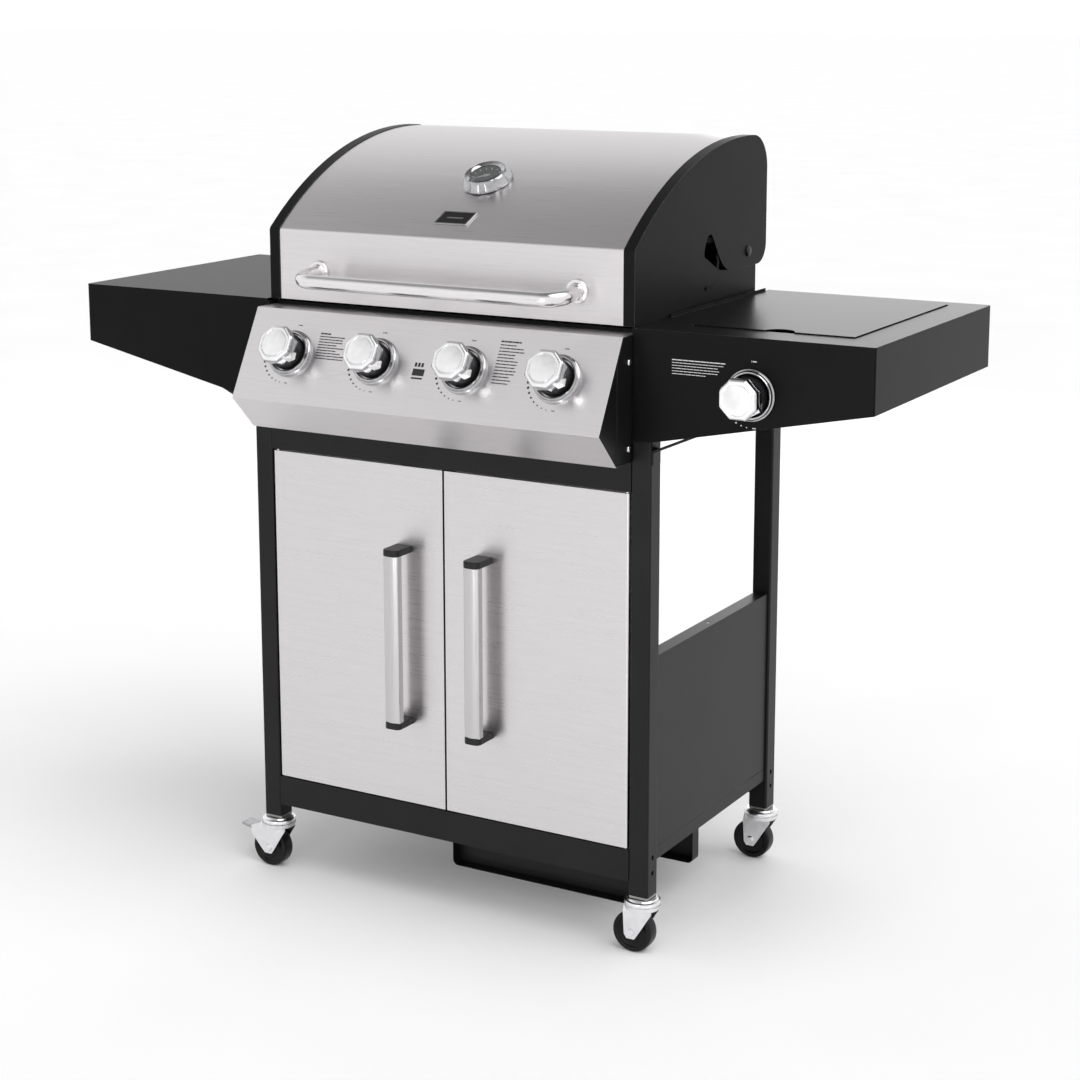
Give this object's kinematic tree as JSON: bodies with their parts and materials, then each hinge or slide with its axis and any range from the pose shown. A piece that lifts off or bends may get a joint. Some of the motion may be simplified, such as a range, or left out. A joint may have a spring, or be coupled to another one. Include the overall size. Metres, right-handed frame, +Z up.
{
  "type": "gas barbecue grill",
  "caption": "Gas barbecue on a wheeled cabinet cart, with a hinged hood, a sloped knob panel, two doors and side shelves, one of them over a covered side burner.",
  "frame": {"origin": "under the middle of the whole grill's box, at floor level", "axes": "+X to the right as seen from the front, +Y to the rear, +Z up"},
  "size_m": [1.29, 0.5526, 1.1218],
  "materials": {
    "black_frame": "satin black powder coat",
    "black_shelf": "satin black powder coat on sheet",
    "black_cap": "satin black enamel",
    "stainless": "brushed stainless sheet",
    "handle_tube": "satin stainless tube",
    "bezel_chrome": "bright chrome plate",
    "knob_plastic": "chrome-plated cap on a black skirt",
    "valve_brass": "machined brass",
    "pipe_steel": "plain steel sheet, wire and pipe",
    "cast_iron": "enamelled cast iron",
    "burner_brass": "cast burner head",
    "zinc": "bright zinc plate",
    "caster_rubber": "black wheel with a soft tread",
    "lens_glass": "clear gauge glass",
    "needle_black": "painted pointer",
    "badge_dark": "blank dark plate in a bright frame"
  },
  "bodies": {
    "cart": {"front_legs": "black_frame", "rear_legs": "black_frame", "front_rails": "black_frame", "rails_and_braces": "black_frame", "bottom_shelf": "black_frame", "side_panel_left": "black_frame", "side_panel_right": "black_frame", "bottle_cradle": "black_frame", "panel_end_plates": "black_frame", "shelf_left": "black_shelf", "shelf_right": "black_shelf", "firebox": "black_cap", "control_panel": "stainless", "knob_bezels": "bezel_chrome", "gas_valves": "valve_brass", "gas_manifold": "pipe_steel", "burners": "pipe_steel", "flame_tamers": "pipe_steel", "warming_rack": "pipe_steel", "side_burner_pan": "pipe_steel", "cooking_grates": "cast_iron", "pot_support": "cast_iron", "side_burner": "burner_brass", "caster_stems": "zinc", "door_pins": "zinc", "fasteners": "zinc"},
    "lid": {"lid_skin": "stainless", "lid_cap_left": "black_cap", "lid_cap_right": "black_cap", "lid_handle": "handle_tube", "thermometer_case": "bezel_chrome", "thermometer_lens": "lens_glass", "badge_plate": "badge_dark"},
    "needle": {"thermometer_needle": "needle_black"},
    "left_door": {"door_left": "stainless", "door_handle_left": "handle_tube"},
    "right_door": {"door_right": "stainless", "door_handle_right": "handle_tube"},
    "burner_cover": {"side_burner_cover": "black_shelf"},
    "drip_tray": {"grease_tray": "pipe_steel"},
    "drip_cup": {"grease_cup": "pipe_steel"},
    "brake_pedal": {"brake_lever": "bezel_chrome"},
    "stem_1": {"valve_stem_1": "valve_brass"},
    "dial_1": {"knob_1": "knob_plastic"},
    "stem_2": {"valve_stem_2": "valve_brass"},
    "dial_2": {"knob_2": "knob_plastic"},
    "stem_3": {"valve_stem_3": "valve_brass"},
    "dial_3": {"knob_3": "knob_plastic"},
    "stem_4": {"valve_stem_4": "valve_brass"},
    "dial_4": {"knob_4": "knob_plastic"},
    "stem_5": {"valve_stem_5": "valve_brass"},
    "dial_5": {"knob_5": "knob_plastic"},
    "swivel_front_left": {"caster_fork_front_left": "zinc"},
    "wheel_front_left": {"caster_wheel_front_left": "caster_rubber"},
    "swivel_front_right": {"caster_fork_front_right": "zinc"},
    "wheel_front_right": {"caster_wheel_front_right": "caster_rubber"},
    "swivel_rear_left": {"caster_fork_rear_left": "zinc"},
    "wheel_rear_left": {"caster_wheel_rear_left": "caster_rubber"},
    "swivel_rear_right": {"caster_fork_rear_right": "zinc"},
    "wheel_rear_right": {"caster_wheel_rear_right": "caster_rubber"}
  },
  "joints": [
    {"name": "lid_hinge", "type": "hinge", "parent": "cart", "child": "lid", "pos_m": [0, 0.19993, 0.9532], "axis": [-1, 0, 0], "range_deg": [0, 80]},
    {"name": "left_door_hinge", "type": "hinge", "parent": "cart", "child": "left_door", "pos_m": [-0.2925, -0.16067, 0.407], "axis": [0, 0, -1], "range_deg": [0, 100]},
    {"name": "right_door_hinge", "type": "hinge", "parent": "cart", "child": "right_door", "pos_m": [0.2925, -0.16067, 0.407], "axis": [0, 0, 1], "range_deg": [0, 100]},
    {"name": "burner_cover_hinge", "type": "hinge", "parent": "cart", "child": "burner_cover", "pos_m": [0.477, 0.23613, 0.883], "axis": [-1, 0, 0], "range_deg": [0, 95]},
    {"name": "drip_tray_slide", "type": "slide", "parent": "cart", "child": "drip_tray", "axis": [0, 1, 0], "range_m": [0, 0.3]},
    {"name": "drip_cup_slide", "type": "slide", "parent": "drip_tray", "child": "drip_cup", "axis": [0, -1, 0], "range_m": [0, 0.12]},
    {"name": "knob_1_push", "type": "slide", "parent": "cart", "child": "stem_1", "axis": [0, 0.8798, -0.4754], "range_m": [0, 0.003], "stiffness_N_per_m": 1500, "springref_m": -0.003},
    {"name": "knob_1_turn", "type": "hinge", "parent": "stem_1", "child": "dial_1", "pos_m": [-0.219, -0.22462, 0.81988], "axis": [0, -0.8798, 0.4754], "range_deg": [0, 180]},
    {"name": "knob_2_push", "type": "slide", "parent": "cart", "child": "stem_2", "axis": [0, 0.8798, -0.4754], "range_m": [0, 0.003], "stiffness_N_per_m": 1500, "springref_m": -0.003},
    {"name": "knob_2_turn", "type": "hinge", "parent": "stem_2", "child": "dial_2", "pos_m": [-0.073, -0.22462, 0.81988], "axis": [0, -0.8798, 0.4754], "range_deg": [0, 180]},
    {"name": "knob_3_push", "type": "slide", "parent": "cart", "child": "stem_3", "axis": [0, 0.8798, -0.4754], "range_m": [0, 0.003], "stiffness_N_per_m": 1500, "springref_m": -0.003},
    {"name": "knob_3_turn", "type": "hinge", "parent": "stem_3", "child": "dial_3", "pos_m": [0.073, -0.22462, 0.81988], "axis": [0, -0.8798, 0.4754], "range_deg": [0, 180]},
    {"name": "knob_4_push", "type": "slide", "parent": "cart", "child": "stem_4", "axis": [0, 0.8798, -0.4754], "range_m": [0, 0.003], "stiffness_N_per_m": 1500, "springref_m": -0.003},
    {"name": "knob_4_turn", "type": "hinge", "parent": "stem_4", "child": "dial_4", "pos_m": [0.219, -0.22462, 0.81988], "axis": [0, -0.8798, 0.4754], "range_deg": [0, 180]},
    {"name": "knob_5_push", "type": "slide", "parent": "cart", "child": "stem_5", "axis": [0, 1, 0], "range_m": [0, 0.003], "stiffness_N_per_m": 1500, "springref_m": -0.003},
    {"name": "knob_5_turn", "type": "hinge", "parent": "stem_5", "child": "dial_5", "pos_m": [0.4755, -0.16817, 0.813], "axis": [0, -1, 0], "range_deg": [0, 180]},
    {"name": "gauge_needle", "type": "hinge", "parent": "lid", "child": "needle", "pos_m": [0.006, -0.05067, 1.06318], "axis": [0, 0.451, -0.8925], "range_deg": [0, 250], "stiffness_Nm_per_rad": 0.002},
    {"name": "swivel_front_left_turn", "type": "hinge", "parent": "cart", "child": "swivel_front_left", "pos_m": [-0.315, -0.15167, 0.074], "axis": [0, 0, 1], "continuous": true},
    {"name": "wheel_front_left_spin", "type": "hinge", "parent": "swivel_front_left", "child": "wheel_front_left", "pos_m": [-0.327, -0.15167, 0.03], "axis": [0, 1, 0], "continuous": true},
    {"name": "swivel_front_right_turn", "type": "hinge", "parent": "cart", "child": "swivel_front_right", "pos_m": [0.315, -0.15167, 0.074], "axis": [0, 0, 1], "continuous": true},
    {"name": "wheel_front_right_spin", "type": "hinge", "parent": "swivel_front_right", "child": "wheel_front_right", "pos_m": [0.303, -0.15167, 0.03], "axis": [0, 1, 0], "continuous": true},
    {"name": "swivel_rear_left_turn", "type": "hinge", "parent": "cart", "child": "swivel_rear_left", "pos_m": [-0.315, 0.25033, 0.074], "axis": [0, 0, 1], "continuous": true},
    {"name": "wheel_rear_left_spin", "type": "hinge", "parent": "swivel_rear_left", "child": "wheel_rear_left", "pos_m": [-0.327, 0.25033, 0.03], "axis": [0, 1, 0], "continuous": true},
    {"name": "swivel_rear_right_turn", "type": "hinge", "parent": "cart", "child": "swivel_rear_right", "pos_m": [0.315, 0.25033, 0.074], "axis": [0, 0, 1], "continuous": true},
    {"name": "wheel_rear_right_spin", "type": "hinge", "parent": "swivel_rear_right", "child": "wheel_rear_right", "pos_m": [0.303, 0.25033, 0.03], "axis": [0, 1, 0], "continuous": true},
    {"name": "brake_pedal_press", "type": "hinge", "parent": "swivel_front_left", "child": "brake_pedal", "pos_m": [-0.351, -0.15167, 0.055], "axis": [0, -1, 0], "range_deg": [0, 15]}
  ]
}
